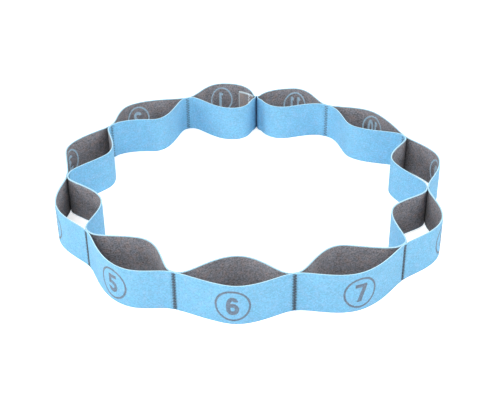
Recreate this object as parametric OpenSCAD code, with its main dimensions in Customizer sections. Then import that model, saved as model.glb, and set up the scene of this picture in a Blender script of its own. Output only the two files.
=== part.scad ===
// Stretching strap: a closed ring of eleven loops, standing on its lower edge.
// An outer and an inner elastic band run side by side all the way round. They are sewn
// together at eleven seams, and between two seams they part and stand open as a loop.
// Seen from above the seams run anticlockwise. Loop k lies between seam k - 1 and seam k,
// and the last seam, where the band ends are joined, lies between loop 11 and loop 1.
// Millimetres, +Z up. The origin is the middle of the ring on the surface it stands on.

/* [Webbing] */
// Width of the bands, which is the height of the standing strap
band_w = 40; // [30:1:50]
// Thickness of one band
web_t = 1.4; // [1:0.1:2]

/* [Seams] */
// Diameter of the thread bar in a seam
tack_d = 3.2; // [2:0.2:3.6]
// How far a thread bar stops short of the edges of the bands
tack_inset = 2; // [1:0.5:5]
// Distance from the middle of a seam to the ends of its walls
seam_half = 2.6; // [2.2:0.1:3.5]
// Clear gap between the two bands at a seam
band_gap = 0.3; // [0.2:0.1:0.6]

/* [Loops] */
// Length of the bend where a wall leaves a plain seam
bend_lead = 11; // [6:1:14]
// How round a wall is beside its widest point, from pointed to full
fullness = 0.4; // [0.3:0.05:0.5]
// How steeply the walls leave the join seam, in degrees
join_turn = 65; // [50:1:70]
// Length of the bend where a wall leaves the join seam
join_lead = 7; // [4:1:12]
// How round the walls are between the join seam and their widest point
join_fullness = 0.65; // [0.5:0.05:0.7]

/* [Join] */
// Length of the turned-back band end inside loop 1
tail_l = 20; // [12:1:24]
// How far the middle of the tail bows out of line
tail_bow = 1.5; // [0:0.5:3]

/* [Hidden] */
loops = 11;
join = loops - 1;

// Middle of each seam on the plan, seam 1 first and the join seam last
seams = [[-67, 167], [-147, 98.5], [-177.5, -9.5], [-144, -111], [-61, -176], [42, -179],
         [141, -136.5], [177.5, -38], [169.5, 69.5], [92.5, 145.5], [13, 170]];

// Widest point of each loop's walls, loop 1 first:
// [distance along the loop, distance out from its middle line, lean of the wall there in degrees]
outer_peaks = [[39, 37, 0], [57, 28, -5], [68, 22, 25], [54, 20, 0], [67, 23, 10], [45, 19, -15],
               [55, 23, 5], [54, 24, 5], [55, 25, -5], [55, 22, -10], [49, 32, 20]];
inner_peaks = [[35, 29, -15], [65, 17, -45], [65, 20, -25], [55, 23, 0], [46, 21, 20], [54, 25, 0],
               [60, 20, -30], [65, 21, -25], [55, 23, 10], [66, 17, -30], [38, 15, 35]];

// Straight pieces in each half of a wall
half_steps = 11;
outer = 1;
inner = -1;

blue = [0.52, 0.79, 0.98];
grey = [0.42, 0.39, 0.41];
dark_thread = [0.26, 0.29, 0.33];

// Plan geometry: a loop's start seam, its direction, and a seam's own direction
function prev(k) = (k + loops - 1) % loops;
function next(k) = (k + 1) % loops;
function unit(v) = v / norm(v);
function ray(angle) = [cos(angle), sin(angle)];
function outward(v) = [v.y, -v.x];
function angle_of(v) = atan2(v.y, v.x);
function chord(k) = seams[k] - seams[prev(k)];
function seam_dir(k) = unit(unit(chord(k)) + unit(chord(next(k))));

function bezier(p, t) = pow(1 - t, 3) * p[0] + 3 * pow(1 - t, 2) * t * p[1]
    + 3 * (1 - t) * t * t * p[2] + t * t * t * p[3];

// Direction in which a wall leaves seam k, turned outwards by join_turn at the join
function leave(k, side, way) =
    ray(angle_of(way * seam_dir(k)) - (k == join ? way * side * join_turn : 0));
function lead(k) = k == join ? join_lead : bend_lead;
function roundness(k) = k == join ? join_fullness : fullness;
function wall_end(k, side, way) =
    seams[k] + side * (web_t + band_gap) / 2 * outward(seam_dir(k)) + way * seam_half * seam_dir(k);

// Middle line of a wall of loop k, as two curves that meet at its widest point
function wall_peak(k, side, peak) =
    seams[prev(k)] + peak[0] * unit(chord(k)) + side * peak[1] * outward(unit(chord(k)));
function half_wall(k, side, peak, s, way, last = half_steps) =
    let (a = wall_end(s, side, way), b = wall_peak(k, side, peak))
    let (lean = way * ray(angle_of(chord(k)) + peak[2]))
    let (reach = roundness(s) * norm(b - a))
    let (ctrl = [a, a + lead(s) * leave(s, side, way), b - reach * lean, b])
    [for (i = [0:last]) bezier(ctrl, i / half_steps)];
function reversed(v) = [for (i = [len(v) - 1:-1:0]) v[i]];
function wall_line(k, side, peak) =
    concat(half_wall(k, side, peak, prev(k), 1),
           reversed(half_wall(k, side, peak, k, -1, half_steps - 1)));

// Outline of a band of web_t that follows a line
function along(v, i) = unit(v[min(i + 1, len(v) - 1)] - v[max(i - 1, 0)]);
function shifted(v, d) = [for (i = [0:len(v) - 1]) v[i] + d * outward(along(v, i))];
function band_outline(v) = concat(shifted(v, web_t / 2), reversed(shifted(v, -web_t / 2)));

function outer_line(k) = wall_line(k, outer, outer_peaks[k]);
function inner_line(k) = wall_line(k, inner, inner_peaks[k]);

// Middle of the whole ring's box, which is moved to the origin
rim = [for (k = [0:loops - 1]) each band_outline(outer_line(k))];
rim_x = [for (p = rim) p.x];
rim_y = [for (p = rim) p.y];
middle = [(min(rim_x) + max(rim_x)) / 2, (min(rim_y) + max(rim_y)) / 2];

// Middle line of the turned-back band end inside loop 1
tail_foot = seams[join] + [-4.2, 0.6];
tail_angle = 143;
tail_steps = 6;
function tail_point(t) =
    tail_foot + t * tail_l * ray(tail_angle) + 4 * tail_bow * t * (1 - t) * ray(tail_angle - 90);
tail_line = [for (i = [0:tail_steps]) tail_point(i / tail_steps)];

module band(line) {
    translate([-middle.x, -middle.y, 0])
        linear_extrude(band_w) polygon(band_outline(line));
}

module outer_panel(k) {
    color(blue) band(outer_line(k));
}

module inner_panel(k) {
    color(blue) band(inner_line(k));
}

module bar_tack(k) {
    color(dark_thread)
        translate([seams[k].x - middle.x, seams[k].y - middle.y, tack_inset])
            cylinder(h = band_w - 2 * tack_inset, d = tack_d, $fn = 24);
}

module join_tail() {
    color(grey) band(tail_line);
}

function number(k) = str(k < 9 ? "0" : "", k + 1);
function names(stem) = [for (k = [0:loops - 1]) str(stem, number(k))];

for (k = [0:loops - 1]) outer_panel(k);
for (k = [0:loops - 1]) inner_panel(k);
for (k = [0:loops - 1]) bar_tack(k);
join_tail();
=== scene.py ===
"""Looks of the stretching strap: eleven numbered loops of elastic webbing, sewn together in a ring."""
import math

import bmesh
import bpy
import numpy as np
from mathutils import Matrix, Vector

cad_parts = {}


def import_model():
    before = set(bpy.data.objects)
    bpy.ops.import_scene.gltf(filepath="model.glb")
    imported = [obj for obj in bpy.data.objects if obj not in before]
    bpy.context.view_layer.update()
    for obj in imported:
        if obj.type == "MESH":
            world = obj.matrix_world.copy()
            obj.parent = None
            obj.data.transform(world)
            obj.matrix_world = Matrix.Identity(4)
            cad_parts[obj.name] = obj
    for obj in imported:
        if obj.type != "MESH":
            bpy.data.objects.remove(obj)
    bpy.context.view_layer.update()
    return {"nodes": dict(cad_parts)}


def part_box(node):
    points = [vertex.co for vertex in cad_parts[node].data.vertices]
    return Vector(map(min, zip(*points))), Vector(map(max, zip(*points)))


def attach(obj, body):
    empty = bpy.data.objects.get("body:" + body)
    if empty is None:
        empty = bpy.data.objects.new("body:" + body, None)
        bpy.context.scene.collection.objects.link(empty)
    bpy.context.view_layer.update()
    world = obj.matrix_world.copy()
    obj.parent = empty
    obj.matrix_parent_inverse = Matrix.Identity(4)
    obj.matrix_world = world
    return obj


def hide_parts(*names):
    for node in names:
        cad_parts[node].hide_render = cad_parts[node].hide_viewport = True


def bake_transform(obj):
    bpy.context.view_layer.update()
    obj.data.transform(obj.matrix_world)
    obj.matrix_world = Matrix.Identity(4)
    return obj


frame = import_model()

# ---------------------------------------------------------------- sizes, in metres
MM = 0.001
LOOPS = 11
LOOP_NAMES = [f"{k:02d}" for k in range(1, LOOPS + 1)]
JOIN = LOOP_NAMES[-1]  # the seam between the last loop and the first, where the band is joined

CORNER = 0.55 * MM  # rounding of the webbing's edges
SELVAGE = 0.4 * MM  # how far the edge yarn reaches down the grey face
WALL_STEP = 1.2 * MM  # distance between cross-sections along a wall
FACE_ROWS = 15  # corners of a cross-section up each face, besides two for the selvage
EDGE_STEPS = 8  # corners of a cross-section round each edge
SEAM_STEPS = 12  # steps between cross-sections through a seam
PINCH = 0.28 * MM  # how far the thread pulls each band in at a seam
SEAM_THINNING = 0.18  # share of the webbing's thickness that the thread presses out

# On the inside of the join the two loops press on each other: their walls stand at this share of
# their distance from its middle up to the first radius, and at their full distance from the second
JOIN_SQUEEZE = (0.35, 4 * MM, 13 * MM)
JOIN_SLIT = 0.01 * MM  # gap that keeps the two sides of the join from touching

# Zigzag stitches of a tack: half width, step between stitches, thread radius
TACK_FRONT = (2.2 * MM, 0.84 * MM, 0.26 * MM)
TACK_BACK = (2.1 * MM, 1.5 * MM, 0.24 * MM)
TACK_JOIN = (0.6 * MM, 1.05 * MM, 0.20 * MM)  # the inside of the join, hidden in its fold
TACK_INSET = 0.9 * MM  # how far the stitches stop short of the webbing's edges
STITCH_GROUP = 4  # stitches in a group, after which there is a slightly wider gap
STITCH_CROWD = 0.08  # how far the outer stitches of a group move in, as a share of the step
STITCH_RAGGED = 0.03  # how unevenly wide the stitches are

# Woven number. What is drawn flat is in millimetres: the ring, the figures and the cells of the mesh
RING_R = 14.8
RING_LINE = 1.9
STROKE = 3.6  # width of a figure's strokes
FIGURE_STRETCH = 1.08  # how much taller a figure is woven than it is drawn
PAIR_NARROW, PAIR_TALL = 0.74, 1.06  # how narrow and tall each of two figures is beside a single one
PAIR_APART = 4.3  # distance of each of the two from the middle
PAIR_BOLD = 0.2  # how far their outlines grow
YARN_STEPS = 0.14  # how far the yarns step an outline to and fro
PRINT_STEP = 0.32  # size of a cell
PRINT_DROP = 0.8 * MM  # how far its middle is below the middle of the webbing
PRINT_PROUD = 0.06 * MM  # how far it stands out of the face
PRINT_DEPTH = 0.03 * MM  # how far it reaches into the face

# The tail at the join
TAIL_ROW = 0.3  # share of its length at which the pale stitches run
TAIL_ZIGZAG = 1.3 * MM  # half their width
TAIL_STEP = 1.7 * MM  # height of one stitch
TAIL_INSET = 1.5 * MM  # how far they stop short of the tail's edges
TAIL_THREAD_R = 0.36 * MM
TAIL_SELVAGE = 1.1 * MM  # how far the edge yarn reaches down the tail's grey face
TAIL_STEPS = 5  # cross-sections for each point of the CAD's line
SEALED_END = 1.0 * MM
FRAYS = 34  # loose yarns along its cut end
FRAY_R = 0.14 * MM
FRAY_ROOT = 0.3 * MM  # how deep they start inside the end
FRAY_SHORT, FRAY_MORE = 0.5, 0.9  # shortest reach past the end, and what the longest adds to it, in mm
FRAY_DROOP, FRAY_LEAN = 0.5 * MM, 0.4 * MM  # how far up or down and sideways a tip goes at most

# Where each number sits along its wall, in millimetres past the middle, and how much the slack
# elastic draws it together there
PRINT_PLACE = {"01": (2.8, 0.88), "02": (-2.0, 0.90), "03": (0.3, 0.97), "04": (-1.8, 1.0),
               "05": (0.6, 1.0), "06": (-1.0, 1.0), "07": (-1.4, 1.0), "08": (1.4, 1.0),
               "09": (4.8, 0.90), "10": (2.8, 0.93), "11": (2.1, 0.92)}


# ---------------------------------------------------------------- small geometry helpers
def unit(v):
    """Vectors of length one in the directions of these."""
    return v / np.linalg.norm(v, axis=-1, keepdims=True)


def outward(direction):
    """The right-hand side of plan directions, which is outside on an anticlockwise ring."""
    return np.stack([direction[..., 1], -direction[..., 0]], axis=-1)


def arc_lengths(points):
    """Distance of each point from the first, along the line through them."""
    return np.r_[0, np.cumsum(np.linalg.norm(np.diff(points, axis=0), axis=1))]


def new_object(name, parts, materials, seams=None, from_join=None):
    """A mesh object from (verts, faces, face materials, one (u, v) in millimetres for each corner).

    Faces with more than four corners are flat ends; the rest are shaded smooth. For the painted
    shade beside the seams and at the join, seams is the u of the seams at the two ends, and from_join
    the distance of each corner from the middle of the join, if the piece is near it.
    """
    verts, faces, face_material, uvs = parts
    mesh = bpy.data.meshes.new(name)
    mesh.from_pydata([tuple(v) for v in verts], [], [tuple(f) for f in faces])
    for material in materials:
        mesh.materials.append(material)
    mesh.polygons.foreach_set("material_index", np.asarray(face_material, np.int32))
    layer = mesh.uv_layers.new(name="weave")
    uvs = np.asarray(uvs, np.float32)
    layer.data.foreach_set("uv", uvs.ravel())
    along = uvs[:, 0]
    away = np.zeros_like(along) if seams is None else np.minimum(along - seams[0], seams[1] - along)
    from_join = np.full_like(along, FAR) if from_join is None else np.asarray(from_join)
    place = mesh.uv_layers.new(name="seam_distance")
    place.data.foreach_set("uv", np.column_stack([away, from_join]).astype(np.float32).ravel())
    mesh.polygons.foreach_set("use_smooth", [len(face) <= 4 for face in faces])
    mesh.validate()
    mesh.update()
    obj = bpy.data.objects.new(name, mesh)
    bpy.context.scene.collection.objects.link(obj)
    return obj


# ---------------------------------------------------------------- the bands' lines, from the CAD
def outline_of(node):
    """The closed plan outline of an upright extruded node, in order, as (N, 2)."""
    bm = bmesh.new()
    bm.from_mesh(frame["nodes"][node].data)
    bmesh.ops.remove_doubles(bm, verts=bm.verts, dist=1e-6)
    top = max(v.co.z for v in bm.verts)
    rim = [e for e in bm.edges
           if all(abs(v.co.z - top) < 1e-6 for v in e.verts)
           and any(abs(f.normal.z) < 0.5 for f in e.link_faces)]
    links = {}
    for e in rim:
        a, b = e.verts
        links.setdefault(a.index, []).append(b.index)
        links.setdefault(b.index, []).append(a.index)
    bm.verts.ensure_lookup_table()
    order, last = [rim[0].verts[0].index], None
    while True:
        onward = [i for i in links[order[-1]] if i != last]
        last = order[-1]
        if onward[0] == order[0]:
            break
        order.append(onward[0])
    points = np.array([bm.verts[i].co.xy[:] for i in order])
    bm.free()
    return points


def pairing_spread(ring):
    """The widest gap when the two halves of a closed outline are paired end to end."""
    half = len(ring) // 2
    gaps = np.linalg.norm(ring[:half] - ring[:half - 1:-1], axis=1)
    return gaps.max()


def middle_line(node, start):
    """The middle line of a band node as (N, 2), from its end nearer to start, and its thickness."""
    outline = outline_of(node)
    count = len(outline)
    half = count // 2
    # Paired from an end face, the corners across the band are nowhere far apart.
    best = min(range(count), key=lambda i: pairing_spread(np.roll(outline, -i, axis=0)))
    ring = np.roll(outline, -best, axis=0)
    line = (ring[:half] + ring[:half - 1:-1]) / 2
    thickness = np.median(np.linalg.norm(ring[:half] - ring[:half - 1:-1], axis=1))
    if np.linalg.norm(line[0] - start) > np.linalg.norm(line[-1] - start):
        line = line[::-1]
    return line, thickness


def seam_points():
    """The middle of each seam on the plan, from the thread bars' boxes."""
    out = {}
    for name in LOOP_NAMES:
        low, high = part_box(f"bar_tack_{name}")
        out[name] = np.array([(low[0] + high[0]) / 2, (low[1] + high[1]) / 2])
    return out


SEAMS = seam_points()
FLOOR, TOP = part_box("outer_panel_01")[0][2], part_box("outer_panel_01")[1][2]


def before(name):
    """The loop before this one, round the ring."""
    return LOOP_NAMES[LOOP_NAMES.index(name) - 1]


def after(name):
    """The loop after this one, round the ring."""
    return LOOP_NAMES[(LOOP_NAMES.index(name) + 1) % LOOPS]


def seam_direction(name):
    """Direction of the bands through a seam: the mean of the two loops' directions."""
    return unit(unit(SEAMS[name] - SEAMS[before(name)]) + unit(SEAMS[after(name)] - SEAMS[name]))


def squeezed(line):
    """A wall's line drawn in towards the middle of the join."""
    way = seam_direction(JOIN)
    share, near, far = JOIN_SQUEEZE
    off = line - SEAMS[JOIN]
    t = np.clip((np.linalg.norm(off, axis=1) - near) / (far - near), 0, 1)
    kept = share + (1 - share) * t * t * (3 - 2 * t)
    return line + ((kept - 1) * (off @ way))[:, None] * way


class Band:
    """One band all the way round, as a smooth closed curve through the CAD's middle lines."""

    def __init__(self, kind, side):
        self.side = side
        points, self.start, self.end = [], {}, {}
        for name in LOOP_NAMES:
            line, self.thickness = middle_line(f"{kind}_panel_{name}", SEAMS[before(name)])
            if side < 0 and JOIN in (name, before(name)):
                line = squeezed(line)
            self.start[name] = len(points)
            points.extend(line)
            self.end[name] = len(points) - 1
            points.append(self.seam_point(name))
        self.points = np.array(points)
        closed = np.vstack([self.points, self.points[:1]])
        self.s = arc_lengths(closed)
        self.total = self.s[-1]
        self.tangents = self.slopes()

    def seam_point(self, name):
        """Where the band passes the middle of a seam, pulled in by the thread."""
        gap = SEAM_GAP + self.thickness
        return SEAMS[name] + self.side * (gap / 2 - PINCH) * outward(seam_direction(name))

    def slopes(self):
        """Tangent at each point of the closed line, for unevenly spaced points."""
        back = self.points - np.roll(self.points, 1, axis=0)
        on = np.roll(self.points, -1, axis=0) - self.points
        h0, h1 = (np.linalg.norm(v, axis=1)[:, None] for v in (back, on))
        return (back / h0 * h1 + on / h1 * h0) / (h0 + h1)

    def at(self, s):
        """Positions and directions at distances s along the closed line."""
        s = np.asarray(s) % self.total
        i = np.clip(np.searchsorted(self.s, s, side="right") - 1, 0, len(self.points) - 1)
        k = (i + 1) % len(self.points)
        h = (self.s[i + 1] - self.s[i])[..., None]
        t = (s - self.s[i])[..., None] / h
        p0, p1, m0, m1 = self.points[i], self.points[k], self.tangents[i] * h, self.tangents[k] * h
        here = ((2 * t**3 - 3 * t**2 + 1) * p0 + (t**3 - 2 * t**2 + t) * m0
                + (-2 * t**3 + 3 * t**2) * p1 + (t**3 - t**2) * m1)
        way = ((6 * t**2 - 6 * t) * p0 + (3 * t**2 - 4 * t + 1) * m0
               + (-6 * t**2 + 6 * t) * p1 + (3 * t**2 - 2 * t) * m1)
        return here, unit(way)

    def stations(self, s0, s1, count):
        """count distances, positions and directions from s0 to s1."""
        s = np.linspace(s0, s1, count)
        return s, *self.at(s)

    def wall_span(self, name):
        return self.s[self.start[name]], self.s[self.end[name]]

    def seam_span(self, name):
        s0 = self.s[self.end[name]]
        s1 = self.s[self.start[after(name)]]
        return s0, s1 if s1 > s0 else s1 + self.total


def seam_gap():
    """The gap that the CAD leaves between the two bands at a seam."""
    outer, thickness = middle_line("outer_panel_06", SEAMS["05"])
    inner = middle_line("inner_panel_06", SEAMS["05"])[0]
    return np.linalg.norm(outer[0] - inner[0]) - thickness


SEAM_GAP = seam_gap()


# ---------------------------------------------------------------- materials
class Nodes:
    """Short names for building a node tree."""

    def __init__(self, name):
        self.material = bpy.data.materials.new(name)
        self.material.use_nodes = True
        self.tree = self.material.node_tree
        self.tree.nodes.clear()
        self.shader = self.add("ShaderNodeBsdfPrincipled")
        out = self.add("ShaderNodeOutputMaterial")
        self.tree.links.new(self.shader.outputs[0], out.inputs["Surface"])

    def add(self, kind, **settings):
        node = self.tree.nodes.new(kind)
        for key, value in settings.items():
            setattr(node, key, value)
        return node

    def plug(self, socket, value):
        if isinstance(value, bpy.types.NodeSocket):
            self.tree.links.new(value, socket)
        else:
            socket.default_value = value

    def corner_values(self, layer):
        """The first and second value that the mesh's corners hold in this layer."""
        vector = self.add("ShaderNodeUVMap", uv_map=layer).outputs[0]
        return vector, *self.split(vector)[:2]

    def split(self, vector):
        node = self.add("ShaderNodeSeparateXYZ")
        self.plug(node.inputs[0], vector)
        return node.outputs[:]

    def math(self, operation, a, b=0.0, c=0.0):
        node = self.add("ShaderNodeMath", operation=operation)
        for socket, value in zip(node.inputs, (a, b, c)):
            self.plug(socket, value)
        return node.outputs[0]

    def noise(self, vector, scale, detail=2.0, rough=0.5):
        node = self.add("ShaderNodeTexNoise")
        self.plug(node.inputs["Vector"], vector)
        node.inputs["Scale"].default_value = scale
        node.inputs["Detail"].default_value = detail
        node.inputs["Roughness"].default_value = rough
        return node.outputs["Fac"]

    def remap(self, value, low, high, to_low=0.0, to_high=1.0):
        node = self.add("ShaderNodeMapRange")
        for key, v in (("Value", value), ("From Min", low), ("From Max", high),
                       ("To Min", to_low), ("To Max", to_high)):
            self.plug(node.inputs[key], v)
        return node.outputs["Result"]

    def mix(self, factor, a, b):
        node = self.add("ShaderNodeMix", data_type="RGBA")
        self.plug(node.inputs["Factor"], factor)
        self.plug(node.inputs[6], a)
        self.plug(node.inputs[7], b)
        return node.outputs[2]

    def bump(self, height, distance, strength=1.0):
        node = self.add("ShaderNodeBump")
        self.plug(node.inputs["Height"], height)
        node.inputs["Distance"].default_value = distance
        node.inputs["Strength"].default_value = strength
        self.plug(self.shader.inputs["Normal"], node.outputs["Normal"])


def srgb(red, green, blue):
    """A linear colour from display values of 0 to 255."""
    def linear(c):
        c /= 255
        return c / 12.92 if c <= 0.04045 else ((c + 0.055) / 1.055) ** 2.4
    return linear(red), linear(green), linear(blue), 1.0


RIB_MM = 1.25  # pitch of the cross ribs along the band
YARN_MM = 0.85  # pitch of the yarn rows across the band
SEAM_SHADE_MM = 20.0  # how far from a seam the painted shade darkens the cloth on its folded side
JOIN_SHADE_MM = 11.0  # how far the painted shade reaches from the middle of the join
SHADE_POWER = 1.6  # above 1, the painted shade gathers close to the seam, or to the middle of the join
FAR = 1000.0  # a distance that no crease reaches, in millimetres
TWIST = 14.0  # how fast the plies of the thread turn, in radians for each millimetre
POCKET_SHADE_DEPTH = 25 * MM  # how far down a loop the painted shade on its inside goes on getting darker


def weave(n):
    """The ribbed weave: position in millimetres, height of the yarns, and a random tone per yarn float."""
    uv, along, across = n.corner_values("weave")
    wander = n.math("MULTIPLY", n.math("SUBTRACT", n.noise(uv, 0.35, 1.0), 0.5), 0.5)
    row = n.math("FLOOR", n.math("DIVIDE", across, YARN_MM))
    turns = n.math("ADD", n.math("DIVIDE", n.math("ADD", along, wander), RIB_MM),
                   n.math("MULTIPLY", row, 0.5))
    rib = n.math("MULTIPLY_ADD", n.math("SINE", n.math("MULTIPLY", turns, 2 * math.pi)), 0.5, 0.5)
    yarn = n.math("ABSOLUTE", n.math("SINE", n.math("MULTIPLY", across, math.pi / YARN_MM)))
    height = n.math("MULTIPLY_ADD", n.math("MULTIPLY", rib, yarn), 0.65, n.math("MULTIPLY", yarn, 0.35))
    cell = n.add("ShaderNodeCombineXYZ")
    n.plug(cell.inputs[0], n.math("FLOOR", turns))
    n.plug(cell.inputs[1], row)
    tone = n.add("ShaderNodeTexWhiteNoise", noise_dimensions="2D")
    n.plug(tone.inputs["Vector"], cell.outputs[0])
    return uv, height, tone.outputs["Value"]


def webbing(name, light, deep, warm, cool, tint, speckle, mottle, sheen,
            seam_shade=0.0, pocket_shade=0.0, fold=None):
    """Elastic webbing: ribbed yarns of uneven tone over a darker ground, tinted in soft patches.

    light and deep are the yarn's top and the gap below it. warm and cool are the tints, and tint is
    how strong they are. speckle is the tone change from yarn to yarn, and mottle that from place to
    place. seam_shade is how much painted shade darkens the cloth beside a seam, and pocket_shade how
    much painted shade darkens it down inside a loop. fold is the colour of the painted shade
    deep in the middle of the join.
    """
    n = Nodes(name)
    uv, height, tone = weave(n)
    grain = n.noise(uv, scale=1.1, detail=3.0, rough=0.65)
    flock = n.noise(uv, scale=0.6, detail=2.0, rough=0.6)
    cloud = n.noise(uv, scale=0.07, detail=2.0)
    depth = n.math("MULTIPLY_ADD", n.math("SUBTRACT", grain, 0.5), 1.1, height)
    colour = n.mix(n.remap(depth, 0.05, 0.85), deep, light)
    patches = n.noise(uv, scale=0.16, detail=3.0, rough=0.7)
    colour = n.mix(n.remap(patches, 0.5, 0.72, 0.0, tint), colour, warm)
    colour = n.mix(n.remap(patches, 0.5, 0.28, 0.0, tint), colour, cool)
    uneven = n.math("MULTIPLY_ADD", n.math("SUBTRACT", tone, 0.5), 0.7,
                    n.math("MULTIPLY", n.math("SUBTRACT", flock, 0.5), 2.2))
    value = n.math("ADD", n.math("MULTIPLY", uneven, speckle),
                   n.remap(cloud, 0.3, 0.7, 1 - mottle, 1 + mottle))
    from_seam, from_join = n.corner_values("seam_distance")[1:]
    # Painted shade: the cloth is darkened close to each seam.
    if seam_shade:
        shade_fade = n.math("POWER", n.remap(from_seam, 0.0, SEAM_SHADE_MM, 1.0, 0.0), SHADE_POWER)
        value = n.math("MULTIPLY", value, n.math("MULTIPLY_ADD", shade_fade, -seam_shade, 1.0))
    # Painted shade: the cloth gets darker from the top edge further down inside a loop.
    if pocket_shade:
        height_up = n.split(n.add("ShaderNodeTexCoord").outputs["Object"])[2]
        shade_down = n.remap(height_up, TOP, TOP - POCKET_SHADE_DEPTH, 0.0, 1.0)
        value = n.math("MULTIPLY", value, n.math("MULTIPLY_ADD", shade_down, -pocket_shade, 1.0))
    # Painted shade: towards the middle of the join the blue turns to a dark shade colour.
    if fold:
        shade_fade = n.math("POWER", n.remap(from_join, 0.0, JOIN_SHADE_MM, 1.0, 0.0), SHADE_POWER)
        colour = n.mix(shade_fade, colour, fold)
    shade = n.add("ShaderNodeHueSaturation")
    n.plug(shade.inputs["Color"], colour)
    n.plug(shade.inputs["Value"], value)
    n.plug(n.shader.inputs["Base Color"], shade.outputs[0])
    n.plug(n.shader.inputs["Roughness"], n.remap(grain, 0.3, 0.7, 0.72, 0.92))
    n.shader.inputs["Specular IOR Level"].default_value = 0.25
    n.shader.inputs["Sheen Weight"].default_value = sheen
    n.shader.inputs["Sheen Roughness"].default_value = 0.45
    relief = n.math("MULTIPLY_ADD", grain, 0.5, n.math("MULTIPLY_ADD", tone, 0.25, height))
    n.bump(relief, 0.18 * MM, 0.85)
    return n.material


def yarn_edge(name, light, deep):
    """The cord of yarn along the webbing's edges, where both faces' colours meet, notched at each rib."""
    n = Nodes(name)
    uv, along, _ = n.corner_values("weave")
    notch = n.math("SINE", n.math("MULTIPLY", along, 2 * math.pi / RIB_MM))
    grain = n.noise(uv, scale=1.3, detail=2.0)
    depth = n.math("MULTIPLY_ADD", notch, 0.3, grain)
    n.plug(n.shader.inputs["Base Color"], n.mix(n.remap(depth, 0.2, 0.75), deep, light))
    n.plug(n.shader.inputs["Roughness"], n.remap(grain, 0.3, 0.7, 0.7, 0.9))
    n.shader.inputs["Specular IOR Level"].default_value = 0.3
    n.shader.inputs["Sheen Weight"].default_value = 0.1
    n.bump(depth, 0.12 * MM, 0.9)
    return n.material


def thread(name, light, deep):
    """Sewing thread: fine slanting plies with a slight gloss, unevenly worn."""
    n = Nodes(name)
    uv, along, around = n.corner_values("weave")
    twist = n.math("ADD", n.math("MULTIPLY", along, TWIST), around)
    ply = n.math("MULTIPLY_ADD", n.math("SINE", twist), 0.5, 0.5)
    grain = n.noise(uv, scale=0.24, detail=3.0)
    tone = n.math("MULTIPLY_ADD", n.remap(grain, 0.35, 0.65), 0.75, n.math("MULTIPLY", ply, 0.25))
    n.plug(n.shader.inputs["Base Color"], n.mix(tone, deep, light))
    n.plug(n.shader.inputs["Roughness"], n.remap(grain, 0.3, 0.7, 0.5, 0.7))
    n.shader.inputs["Sheen Weight"].default_value = 0.15
    n.bump(ply, 0.05 * MM, 0.7)
    return n.material


# The blue face's fold colour is a painted shade deep in the middle of the join.
BLUE = webbing("webbing_blue", light=srgb(142, 198, 227), deep=srgb(100, 167, 210),
               warm=srgb(168, 190, 218), cool=srgb(116, 194, 222),
               tint=0.30, speckle=0.29, mottle=0.03, sheen=0.08, fold=srgb(22, 84, 134))
# The grey face carries painted shade beside the seams and down inside the loops.
GREY = webbing("webbing_grey", light=srgb(173, 172, 178), deep=srgb(110, 110, 118),
               warm=srgb(176, 146, 132), cool=srgb(112, 132, 152),
               tint=0.40, speckle=0.74, mottle=0.12, sheen=0.06, seam_shade=0.50, pocket_shade=0.32)
EDGE = yarn_edge("selvage", light=srgb(200, 234, 248), deep=srgb(136, 186, 210))
DARK_THREAD = thread("thread_dark", light=srgb(92, 104, 116), deep=srgb(18, 25, 33))
PALE_THREAD = thread("thread_pale", light=srgb(236, 244, 250), deep=srgb(186, 208, 224))
PRINT_GREY = webbing("print_grey", light=srgb(126, 142, 160), deep=srgb(84, 99, 118),
                     warm=srgb(134, 134, 140), cool=srgb(110, 144, 166),
                     tint=0.40, speckle=0.40, mottle=0.04, sheen=0.08)
PRINT_BLUE = webbing("print_blue", light=srgb(188, 216, 234), deep=srgb(136, 172, 198),
                     warm=srgb(180, 186, 204), cool=srgb(148, 196, 222),
                     tint=0.35, speckle=0.40, mottle=0.04, sheen=0.08)
TAIL_GREY = webbing("webbing_tail", light=srgb(172, 166, 166), deep=srgb(116, 110, 112),
                    warm=srgb(178, 150, 138), cool=srgb(122, 140, 160),
                    tint=0.45, speckle=0.24, mottle=0.08, sheen=0.08)
SEALED = yarn_edge("sealed_end", light=srgb(206, 222, 230), deep=srgb(150, 170, 182))
FACES = [BLUE, GREY, EDGE]
BLUE_FACE, GREY_FACE, EDGE_FACE = range(3)


# ---------------------------------------------------------------- webbing strips
def section(thickness, blue_side, selvage=SELVAGE):
    """Cross-section of the webbing: (offset, height, distance round it, face that comes next).

    It starts at the foot of one face. The edge yarn covers the middle half of each rounded edge, and
    on the grey side it also reaches a little way down the face.
    """
    half = thickness / 2
    first, second = (BLUE_FACE, GREY_FACE) if blue_side > 0 else (GREY_FACE, BLUE_FACE)
    heights = np.linspace(FLOOR + CORNER, TOP - CORNER, FACE_ROWS)
    heights = np.r_[heights[0], heights[0] + selvage, heights[1:-1], heights[-1] - selvage, heights[-1]]
    angles = np.linspace(0, math.pi, EDGE_STEPS + 1)[:-1]
    first_rim, second_rim = (EDGE_FACE if kind == GREY_FACE else kind for kind in (first, second))

    # The last corner of each face is left to the rounded edge that follows it.
    def face(offset, up, kind, rim):
        kinds = [rim] + [kind] * (len(heights) - 3) + [rim]
        return [(offset, z, k) for z, k in zip(heights[::up], kinds)]

    def round_edge(middle, up, rim, next_rim):
        quarter = EDGE_STEPS // 4
        kinds = [rim] * quarter + [EDGE_FACE] * (2 * quarter) + [next_rim] * quarter
        return [(up * half * math.cos(a), middle + up * CORNER * math.sin(a), kind)
                for a, kind in zip(angles, kinds)]

    points = face(half, 1, first, first_rim)
    points += round_edge(TOP - CORNER, 1, first_rim, second_rim)
    points += face(-half, -1, second, second_rim)
    points += round_edge(FLOOR + CORNER, -1, second_rim, first_rim)
    around = arc_lengths(np.array([p[:2] for p in points + points[:1]]))
    return [(offset, z, run, kind) for (offset, z, kind), run in zip(points, around)], around[-1]


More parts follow.
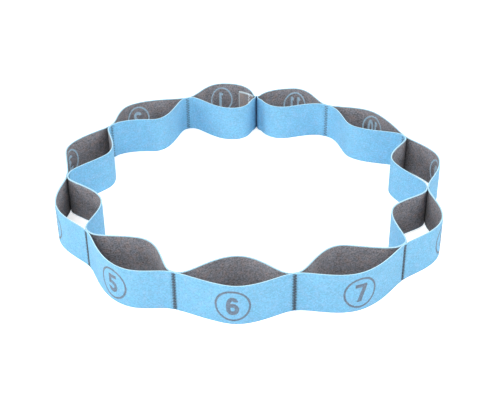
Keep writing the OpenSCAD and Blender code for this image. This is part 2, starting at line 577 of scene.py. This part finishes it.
def strip(s, line, way, profile, squeeze=None):
    """Verts, faces, materials and corner UVs of a webbing strip along a plan line.

    s is the distance along it, way its direction, and squeeze its thickness as a part of the full one.
    """
    ring, girth = profile
    side = outward(way)
    n, m = len(s), len(ring)
    squeeze = np.ones(n) if squeeze is None else squeeze
    verts = [(*(line[i] + side[i] * offset * squeeze[i]), z)
             for i in range(n) for offset, z, _, _ in ring]
    runs = [r[2] / MM for r in ring] + [girth / MM]
    faces, material, uvs = [], [], []
    for i in range(n - 1):
        for j in range(m):
            k = (j + 1) % m
            faces.append((i * m + j, (i + 1) * m + j, (i + 1) * m + k, i * m + k))
            material.append(ring[j][3])
            u0, u1, v0, v1 = s[i] / MM, s[i + 1] / MM, runs[j], runs[j + 1]
            uvs += [(u0, v0), (u1, v0), (u1, v1), (u0, v1)]
    for i, order in ((0, range(m)), (n - 1, range(m - 1, -1, -1))):
        faces.append([i * m + j for j in order])
        material.append(EDGE_FACE)
        uvs += [((s[i] + ring[j][0]) / MM, ring[j][1] / MM) for j in order]
    return verts, faces, material, uvs


def joined(parts):
    """Several (verts, faces, materials, uvs) as one."""
    verts, faces, material, uvs = [], [], [], []
    for v, f, m, u in parts:
        base = len(verts)
        verts += v
        faces += [[i + base for i in face] for face in f]
        material += m
        uvs += u
    return verts, faces, material, uvs


def tube(path, radius, sides=6):
    """A round thread along a 3D path, with the distance along it and the side as its corner UVs."""
    path = np.asarray(path, float)
    way = np.gradient(path, axis=0)
    way /= np.linalg.norm(way, axis=1)[:, None]
    length = arc_lengths(path) / MM
    verts, faces, uvs = [], [], []
    guide = np.array([0.0, 0.0, 1.0])
    for p, d in zip(path, way):
        across = np.cross(d, guide)
        if np.linalg.norm(across) < 1e-6:
            across = np.array([1.0, 0.0, 0.0])
        across = unit(across)
        up = np.cross(across, d)
        for j in range(sides):
            a = 2 * math.pi * j / sides
            verts.append(tuple(p + radius * (math.cos(a) * across + math.sin(a) * up)))
    for i in range(len(path) - 1):
        for j in range(sides):
            k = (j + 1) % sides
            faces.append((i * sides + j, i * sides + k, (i + 1) * sides + k, (i + 1) * sides + j))
            uvs += [(length[i], j), (length[i], j + 1), (length[i + 1], j + 1), (length[i + 1], j)]
    last = (len(path) - 1) * sides
    faces.append(list(range(sides - 1, -1, -1)))
    faces.append([last + j for j in range(sides)])
    uvs += [(0.0, j) for j in range(sides)] * 2
    return verts, faces, [0] * len(faces), uvs


# ---------------------------------------------------------------- figures, in millimetres
def bar(p, x0, x1, y0, y1):
    """Signed distance to an upright rectangle."""
    dx = np.abs(p[..., 0] - (x0 + x1) / 2) - (x1 - x0) / 2
    dy = np.abs(p[..., 1] - (y0 + y1) / 2) - (y1 - y0) / 2
    return np.minimum(np.maximum(dx, dy), 0) + np.hypot(np.maximum(dx, 0), np.maximum(dy, 0))


def slant(p, a, b, width):
    """Signed distance to a straight stroke with square ends."""
    a, b = np.array(a, float), np.array(b, float)
    d = unit(b - a)
    q = p - (a + b) / 2
    x, y = q @ d, q @ np.array([-d[1], d[0]])
    return np.maximum(np.abs(x) - np.linalg.norm(b - a) / 2, np.abs(y) - width / 2)


def hoop(p, centre, radii, width):
    """Signed distance, nearly, to an oval stroke whose middle line has these radii."""
    x, y = (p[..., 0] - centre[0]) / radii[0], (p[..., 1] - centre[1]) / radii[1]
    r = np.maximum(np.hypot(x, y), 1e-6)
    slope = np.hypot(x / radii[0], y / radii[1]) / r
    return np.abs((r - 1) / slope) - width / 2


def half_plane(p, point, normal):
    """Signed distance to a straight edge, negative on the side that the normal points away from."""
    return (p - np.array(point, float)) @ unit(np.array(normal, float))


def figure(digit, p):
    """Signed distance to a bold figure in a box 11 wide and 17 high, centred on the origin."""
    w = STROKE
    if digit == "0":
        return hoop(p, (0, 0), (3.75, 6.7), w)
    if digit == "1":
        return np.minimum(bar(p, -0.6, 2.7, -8.5, 8.5), slant(p, (1.4, 7.6), (-2.5, 5.5), 2.5))
    if digit == "2":
        gap = np.maximum(half_plane(p, (0, 3.6), (0.2, 1)), half_plane(p, (1.6, 3), (1, 0.4)))
        top = np.maximum(hoop(p, (0, 3.8), (3.75, 2.95), w), -gap)
        return np.minimum.reduce([top, slant(p, (3.3, 2.0), (-3.2, -6.4), 3.2),
                                  bar(p, -5.4, 5.4, -8.5, -5.4)])
    if digit == "3":
        upper = np.maximum(hoop(p, (0, 4.1), (3.5, 2.65), w), -bar(p, -9, -0.6, -0.2, 5.2))
        lower = np.maximum(hoop(p, (0, -3.6), (3.75, 3.1), w), -bar(p, -9, -0.6, -4.6, 1.6))
        return np.minimum.reduce([upper, lower, bar(p, -1.6, 0.8, -1.0, 2.0)])
    if digit == "4":
        return np.minimum.reduce([bar(p, 0.8, 4.3, -8.5, 8.5), bar(p, -5.4, 5.7, -5.0, -1.8),
                                  slant(p, (-4.3, -2.9), (2.2, 7.9), 3.2)])
    if digit == "5":
        bowl = np.maximum(hoop(p, (0, -3.0), (3.85, 3.8), w), -bar(p, -9, -0.4, -3.9, 1.2))
        return np.minimum.reduce([bowl, bar(p, -4.6, 4.9, 5.3, 8.5), bar(p, -4.6, -1.2, -0.8, 8.5)])
    if digit == "6":
        arch = np.maximum(hoop(p, (0, 0), (3.75, 6.7), w), -bar(p, 0.2, 9, -9, 4.1))
        return np.minimum(arch, hoop(p, (0, -3.0), (3.75, 3.75), w))
    if digit == "7":
        leg = np.maximum(slant(p, (4.3, 7.6), (-1.9, -9.5), 4.0), bar(p, -9, 9, -8.5, 8.5))
        return np.minimum(bar(p, -5.5, 5.5, 5.3, 8.5), leg)
    if digit == "8":
        return np.minimum(hoop(p, (0, 4.15), (3.3, 2.6), w), hoop(p, (0, -3.6), (3.75, 3.1), w))
    return figure("6", -p)


def number_distance(number, p):
    """Signed distance to a whole number, with two figures set narrower and side by side."""
    p = p / (1, FIGURE_STRETCH)
    if len(number) == 1:
        return figure(number, p)
    parts = []
    for digit, centre in zip(number, (-PAIR_APART, PAIR_APART)):
        q = np.stack([(p[..., 0] - centre) / PAIR_NARROW, p[..., 1] / PAIR_TALL], axis=-1)
        parts.append((figure(digit, q) - PAIR_BOLD) * PAIR_NARROW)
    return np.minimum(*parts)


def woven_number(number, p):
    """Signed distance to a number in its ring, with outlines stepped a little by the yarns."""
    ring = hoop(p, (0, 0), (RING_R, RING_R), RING_LINE)
    yarns = np.sin(2 * math.pi * p[..., 0] / RIB_MM) * np.sin(math.pi * p[..., 1] / YARN_MM)
    return np.minimum(ring, number_distance(number, p)) + YARN_STEPS * yarns


def filled(distance, half_width, half_height, step):
    """Flat mesh of where distance(points) is negative: cells cut along the zero line."""
    xs = np.arange(-half_width, half_width + step / 2, step)
    ys = np.arange(-half_height, half_height + step / 2, step)
    grid = np.stack(np.meshgrid(xs, ys), axis=-1)
    value = distance(grid)
    inside = value < 0
    used = inside[:-1, :-1] | inside[1:, :-1] | inside[:-1, 1:] | inside[1:, 1:]
    verts, index, faces = [], {}, []

    def vertex(key, point):
        if key not in index:
            index[key] = len(verts)
            verts.append(tuple(point))
        return index[key]

    for j, i in zip(*np.nonzero(used)):
        corners = [(j, i), (j, i + 1), (j + 1, i + 1), (j + 1, i)]
        face = []
        for a, b in zip(corners, corners[1:] + corners[:1]):
            if inside[a]:
                face.append(vertex(a, grid[a]))
            if inside[a] != inside[b]:
                t = value[a] / (value[a] - value[b])
                face.append(vertex(tuple(sorted((a, b))), grid[a] + t * (grid[b] - grid[a])))
        if len(face) > 2:
            faces.append(face)
    return verts, faces


# ---------------------------------------------------------------- pieces
def on_wall(band, name, flat, side):
    """Wraps a flat mesh, in millimetres, round a wall as a thin slab on the face at side."""
    flat_verts, flat_faces = flat
    count = len(flat_verts)
    shift, squeeze = PRINT_PLACE[name]
    s_middle = sum(band.wall_span(name)) / 2 + shift * MM
    z_middle = (FLOOR + TOP) / 2 - PRINT_DROP
    shell = band.thickness / 2
    flat_verts = np.array(flat_verts)
    s = s_middle + flat_verts[:, 0] * squeeze * MM
    z = z_middle + flat_verts[:, 1] * MM
    spots = np.column_stack([s, z]) / MM
    here, way = band.at(s)
    verts, faces, uvs = [], [], []
    for level in (shell + PRINT_PROUD, shell - PRINT_DEPTH):
        verts += np.column_stack([here + outward(way) * level * side, z]).tolist()

    def put(face):
        face = face if side > 0 else face[::-1]
        faces.append(face)
        uvs.extend(spots[v % count] for v in face)

    edges = {(a, b) for face in flat_faces for a, b in zip(face, face[1:] + face[:1])}
    for face in flat_faces:
        put(list(face))
        put([v + count for v in reversed(face)])
    for a, b in sorted(edges):
        if (b, a) not in edges:
            put([b, a, a + count, b + count])
    return verts, faces, [0] * len(faces), uvs


def blend_wall(piece):
    """Bakes the transform of a piece on a wall into its mesh."""
    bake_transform(piece)


def blend_seam(piece, name):
    """Attaches a piece across the join to the join's body, and bakes the transform of a piece across any
    other seam into its mesh.
    """
    if name == JOIN:
        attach(piece, f"seam_{name}")
        return
    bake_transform(piece)


def make_wall(band, kind, name):
    """The visible webbing of one wall, and its length."""
    s0, s1 = band.wall_span(name)
    s1 -= JOIN_SLIT if name == JOIN else 0
    s, line, way = band.stations(s0, s1, int((s1 - s0) / WALL_STEP) + 1)
    parts = strip(s, line, way, section(band.thickness, band.side))
    from_join = None
    # Distance of each corner from the middle of the join, for the painted shade there.
    if band is INNER_BAND and JOIN in (name, before(name)):
        along = np.array(parts[3])[:, 0]
        fold0, fold1 = band.seam_span(JOIN)
        half_fold = (fold1 - fold0) / 2 / MM
        from_join = half_fold + (s1 / MM - along if name == JOIN else along - s0 / MM)
    piece = new_object(f"{kind}_band_{name}", parts, FACES, (s0 / MM, s1 / MM), from_join)
    blend_wall(piece)
    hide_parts(f"{kind}_panel_{name}")
    return piece, s1 - s0


def seam_thickness(share):
    """Thickness of the webbing at a share of the way across a seam, as a part of its full one."""
    return 1 - SEAM_THINNING * np.sin(np.pi * share) ** 2


def make_seam(name):
    """The two bands where they are sewn together, pressed flatter under the thread."""
    parts, from_join = [], []
    for band in BANDS:
        s0, s1 = band.seam_span(name)
        s, line, way = band.stations(s0, s1, SEAM_STEPS + 1)
        parts.append(strip(s, line, way, section(band.thickness, band.side),
                           seam_thickness((s - s0) / (s1 - s0))))
        along = np.array(parts[-1][3])[:, 0]
        # Near the join, the distance from its middle, for the painted shade there.
        in_fold = band is INNER_BAND and name == JOIN
        from_join.append(np.abs(along - (s0 + s1) / 2 / MM) if in_fold else np.full_like(along, FAR))
    piece = new_object(f"seam_bands_{name}", joined(parts), FACES, from_join=np.concatenate(from_join))
    blend_seam(piece, name)
    return piece


def on_seam(band, name, x, lift):
    """Plan points over the free face of a seam, x along the band from the seam's middle."""
    s0, s1 = band.seam_span(name)
    here, way = band.at((s0 + s1) / 2 + x)
    face = band.thickness / 2 * seam_thickness(0.5 + x / (s1 - s0))
    return here + band.side * outward(way) * (face + lift)[..., None]


def tack_path(band, name, half_width, step, radius):
    """Zigzag of the thread on one face of a seam: it dips into the cloth at the end of each stitch."""
    low, high = FLOOR + TACK_INSET, TOP - TACK_INSET
    rows = int((high - low) / step)
    step = (high - low) / rows
    i = np.arange(rows)[:, None]
    # One stitch: (place across the tack, height over the face in thread radii)
    share, lift = np.array([(-1.0, -1.1), (-0.84, 0.55), (-0.3, 0.85),
                            (0.3, 0.85), (0.84, 0.55), (1.0, -1.1)]).T
    ragged = 1 + STITCH_RAGGED * np.sin(i * 2.4 + LOOP_NAMES.index(name))
    reach = half_width * ragged * np.where(i % 2, 1, -1)
    middle = (STITCH_GROUP - 1) / 2
    crowd = STITCH_CROWD * step * (middle - i % STITCH_GROUP) / middle
    z = low + crowd + step * (i + (share + 1) / 2)
    plan = on_seam(band, name, reach * share, lift * radius)
    return np.concatenate([plan, z[..., None]], axis=-1).reshape(-1, 3)


def make_tack(name):
    """The bar of zigzag stitches: dense outside, where the top thread lies, and sparse inside."""
    inside = TACK_JOIN if name == JOIN else TACK_BACK
    parts = [tube(tack_path(band, name, *stitches), stitches[-1])
             for band, stitches in ((OUTER_BAND, TACK_FRONT), (INNER_BAND, inside))]
    piece = new_object(f"tack_{name}", joined(parts), [DARK_THREAD])
    blend_seam(piece, name)
    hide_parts(f"bar_tack_{name}")
    return piece


def make_number(band, name):
    """The circled number, woven grey on the blue face and showing through blue on the grey face."""
    number = str(int(name))
    reach = RING_R + RING_LINE
    flat = filled(lambda p: woven_number(number, p), reach, reach, PRINT_STEP)
    out = []
    for side, where, material, slot in ((1, "front", PRINT_GREY, "print_grey"),
                                        (-1, "back", PRINT_BLUE, "print_blue")):
        piece = new_object(f"number_{where}_{name}", on_wall(band, name, flat, side), [material])
        blend_wall(piece)
        out.append(piece)
    return out


def tail_stitches(middle, way, side, shell):
    """The pale zigzag down the tail, on both faces."""
    low, high = FLOOR + TAIL_INSET, TOP - TAIL_INSET
    rows = int((high - low) / TAIL_STEP)
    i = np.arange(rows + 1)[:, None]
    # One stitch: (place across the zigzag, height over the face in thread radii)
    share, lift = np.array([(-1.0, -0.8), (-0.7, 0.6), (0.0, 0.85), (0.7, 0.6), (1.0, -0.8)]).T
    reach = share * TAIL_ZIGZAG * np.where(i % 2, 1, -1)
    z = low + (high - low) * (i + share / 2) / rows
    parts = []
    for sign in (1, -1):
        plan = (middle + way * reach[..., None]
                + side * sign * (shell + lift * TAIL_THREAD_R)[..., None])
        path = np.concatenate([plan, z[..., None]], axis=-1).reshape(-1, 3)
        parts.append(tube(path, TAIL_THREAD_R))
    return joined(parts)


def frayed_yarns(end, way, side, shell):
    """Loose yarns along the cut end of the tail, each with its own place, length, droop and lean."""
    parts = []
    for i in range(FRAYS):
        across = ((i * 7) % 5 - 2) / 2 * 0.7 * shell
        z = FLOOR + CORNER + (TOP - FLOOR - 2 * CORNER) * (i + 0.5) / FRAYS
        # Sines of unlike steps give each yarn its own shape, the same in every run.
        reach = (FRAY_SHORT + FRAY_MORE * abs(math.sin(i * 1.9))) * MM
        droop = FRAY_DROOP * math.sin(i * 3.1)
        lean = FRAY_LEAN * math.sin(i * 4.3)
        path = []
        for t in (0.0, 0.35, 0.7, 1.0):
            plan = end + way * (reach * t - FRAY_ROOT) + side * (across + lean * t * t)
            path.append((*plan, z + droop * t * t))
        parts.append(tube(path, FRAY_R, sides=5))
    return joined(parts)


def make_tail():
    """The band end that is turned back into loop 1 at the join, its cut end and its pale stitches."""
    line, thickness = middle_line("join_tail", SEAMS[JOIN])
    t = np.linspace(0, len(line) - 1, (len(line) - 1) * TAIL_STEPS + 1)
    fine = np.stack([np.interp(t, range(len(line)), line[:, i]) for i in range(2)], axis=1)
    way = np.gradient(fine, axis=0)
    way /= np.linalg.norm(way, axis=1)[:, None]
    s, side = arc_lengths(fine), outward(way)
    profile = section(thickness, 1, TAIL_SELVAGE)
    parts = strip(s, fine, way, profile)
    # The last stretch is heat-sealed, so it takes the sealed end's colour on both faces.
    material = parts[2]
    first_sealed = len(profile[0]) * int(np.sum(s[-1] - s > SEALED_END))
    ends = len(material) - 2
    material[first_sealed:ends] = [EDGE_FACE] * (ends - first_sealed)
    tail = new_object("join_tail_band", parts, [BLUE, TAIL_GREY, SEALED])
    row = int(TAIL_ROW * len(fine))
    zigzag = tail_stitches(fine[row], way[row], side[row], thickness / 2)
    stitches = new_object("join_tail_stitches", zigzag, [PALE_THREAD])
    yarns = frayed_yarns(fine[-1], way[-1], side[-1], thickness / 2)
    fray = new_object("join_tail_fray", yarns, [SEALED])
    for piece, slot in ((tail, "webbing_grey"), (stitches, "thread_pale"), (fray, "selvage")):
        blend_wall(piece)
    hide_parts("join_tail")
    return tail, [stitches, fray], s[-1]


# ---------------------------------------------------------------- the whole strap
OUTER_BAND = Band("outer", 1)
INNER_BAND = Band("inner", -1)
BANDS = (OUTER_BAND, INNER_BAND)

extras = {name: [make_seam(name), make_tack(name)] for name in LOOP_NAMES}
for name in LOOP_NAMES:
    extras[name] += make_number(OUTER_BAND, name)
    outer_wall, outer_length = make_wall(OUTER_BAND, "outer", name)
    inner_wall, inner_length = make_wall(INNER_BAND, "inner", name)
tail, tail_extras, tail_length = make_tail()


# ---------------------------------------------------------------- floor, light and camera
FLOOR_SIZE = 12
FLOOR_GAP = 0.2 * MM  # how far it lies below the strap
FLOOR_GLOW = 0.50  # the floor is a lit sheet, so shadows on it stay faint
WORLD_LIGHT = 0.51
LIGHTS = (("key", (-0.5, -1.2, 1.6), 1.4, 23),  # name, place, size, watts
          ("fill", (1.3, -0.4, 1.2), 1.6, 18),
          ("left", (-1.6, -0.5, 0.7), 1.0, 12),
          ("back", (0.3, 1.6, 1.0), 1.4, 11))

VIEW_TARGET = (-1.2, -4.0, 3.2)  # in millimetres
VIEW_DISTANCE = 1006.7 * MM
VIEW_ELEVATION = math.radians(31.49)
VIEW_ROLL = math.radians(-0.43)
SENSOR_WIDTH, LENS = 36, 70.6752  # of the camera, in millimetres


def make_floor():
    bpy.ops.mesh.primitive_plane_add(size=FLOOR_SIZE, location=(0, 0, FLOOR - FLOOR_GAP))
    floor = bpy.context.object
    floor.name = "floor"
    n = Nodes("floor_white")
    n.shader.inputs["Base Color"].default_value = (0.93, 0.93, 0.93, 1)
    n.shader.inputs["Roughness"].default_value = 0.9
    n.shader.inputs["Specular IOR Level"].default_value = 0.0
    n.shader.inputs["Emission Color"].default_value = (1, 1, 1, 1)
    seen = n.add("ShaderNodeLightPath").outputs["Is Camera Ray"]
    n.plug(n.shader.inputs["Emission Strength"], n.math("MULTIPLY", seen, FLOOR_GLOW))
    floor.data.materials.append(n.material)


def make_light(name, location, size, power):
    """A round soft light that faces the middle of the strap."""
    data = bpy.data.lights.new(name, "AREA")
    data.shape = "DISK"
    data.size = size
    data.energy = power
    light = bpy.data.objects.new(name, data)
    light.location = location
    light.rotation_euler = (-Vector(location)).to_track_quat("-Z", "Y").to_euler()
    bpy.context.scene.collection.objects.link(light)


def make_camera():
    """The view: looking along +Y from above, with the ring filling the frame."""
    data = bpy.data.cameras.new("camera")
    data.sensor_width = SENSOR_WIDTH
    data.lens = LENS
    camera = bpy.data.objects.new("camera", data)
    back = Vector((0, -math.cos(VIEW_ELEVATION), math.sin(VIEW_ELEVATION)))
    camera.location = Vector(VIEW_TARGET) * MM + back * VIEW_DISTANCE
    level = back.to_track_quat("Z", "Y").to_matrix()
    camera.rotation_euler = (level @ Matrix.Rotation(VIEW_ROLL, 3, "Z")).to_euler()
    bpy.context.scene.collection.objects.link(camera)
    bpy.context.scene.camera = camera


def make_world():
    world = bpy.data.worlds.new("studio")
    world.use_nodes = True
    background = world.node_tree.nodes["Background"]
    background.inputs["Color"].default_value = (1, 1, 1, 1)
    background.inputs["Strength"].default_value = WORLD_LIGHT
    bpy.context.scene.world = world
    bpy.context.scene.view_settings.view_transform = "Standard"


make_floor()
make_world()
for name, place, size, watts in LIGHTS:
    make_light(name, place, size, watts)
make_camera()
